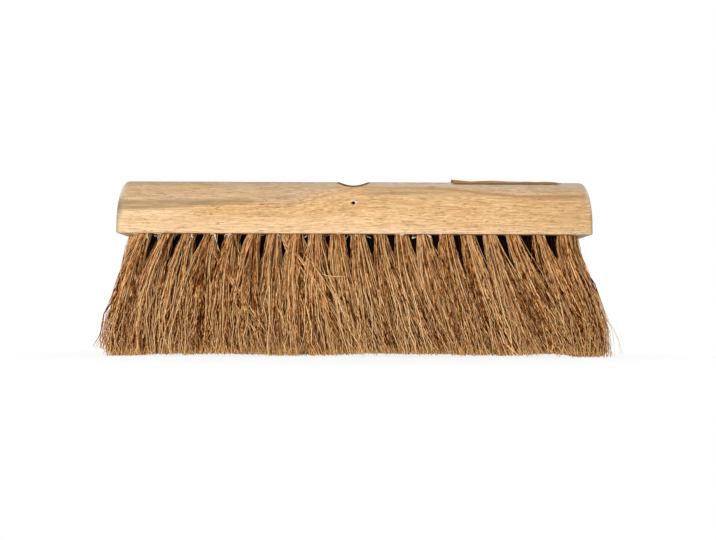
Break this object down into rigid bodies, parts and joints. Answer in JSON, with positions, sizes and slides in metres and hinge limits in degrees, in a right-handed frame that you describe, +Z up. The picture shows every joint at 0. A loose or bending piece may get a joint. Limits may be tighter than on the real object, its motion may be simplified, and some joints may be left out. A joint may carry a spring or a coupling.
{
  "type": "floor broom head",
  "caption": "Floor broom head with a domed hardwood stock, a slanted handle socket, a pilot hole and staggered rows of trimmed coir tufts that fan out to the floor.",
  "frame": {"origin": "under the middle of the head, on the surface that the trimmed bristle tips stand on", "axes": "+X along the stock towards the labelled end, +Y from the front, where the handle leans, to the back, +Z up"},
  "size_m": [0.3236, 0.0764, 0.1155],
  "materials": {
    "hardwood": "sanded, unvarnished",
    "coir": "coarse brown coconut fibre",
    "paper": "matt brown paper, blank"
  },
  "bodies": {
    "root": {"stock": "hardwood", "coir_tufts_row1_01": "coir", "coir_tufts_row1_02": "coir", "coir_tufts_row1_03": "coir", "coir_tufts_row1_04": "coir", "coir_tufts_row1_05": "coir", "coir_tufts_row1_06": "coir", "coir_tufts_row1_07": "coir", "coir_tufts_row1_08": "coir", "coir_tufts_row1_09": "coir", "coir_tufts_row1_10": "coir", "coir_tufts_row2_01": "coir", "coir_tufts_row2_02": "coir", "coir_tufts_row2_03": "coir", "coir_tufts_row2_04": "coir", "coir_tufts_row2_05": "coir", "coir_tufts_row2_06": "coir", "coir_tufts_row2_07": "coir", "coir_tufts_row2_08": "coir", "coir_tufts_row2_09": "coir", "coir_tufts_row2_10": "coir", "coir_tufts_row3_01": "coir", "coir_tufts_row3_02": "coir", "coir_tufts_row3_03": "coir", "coir_tufts_row3_04": "coir", "coir_tufts_row3_05": "coir", "coir_tufts_row3_06": "coir", "coir_tufts_row3_07": "coir", "coir_tufts_row3_08": "coir", "coir_tufts_row3_09": "coir", "coir_tufts_row3_10": "coir", "coir_tufts_row4_01": "coir", "coir_tufts_row4_02": "coir", "coir_tufts_row4_03": "coir", "coir_tufts_row4_04": "coir", "coir_tufts_row4_05": "coir", "coir_tufts_row4_06": "coir", "coir_tufts_row4_07": "coir", "coir_tufts_row4_08": "coir", "coir_tufts_row4_09": "coir", "coir_tufts_row4_10": "coir", "coir_tufts_row5_01": "coir", "coir_tufts_row5_02": "coir", "coir_tufts_row5_03": "coir", "coir_tufts_row5_04": "coir", "coir_tufts_row5_05": "coir", "coir_tufts_row5_06": "coir", "coir_tufts_row5_07": "coir", "coir_tufts_row5_08": "coir", "coir_tufts_row5_09": "coir", "coir_tufts_row5_10": "coir", "label": "paper"}
  },
  "joints": []
}
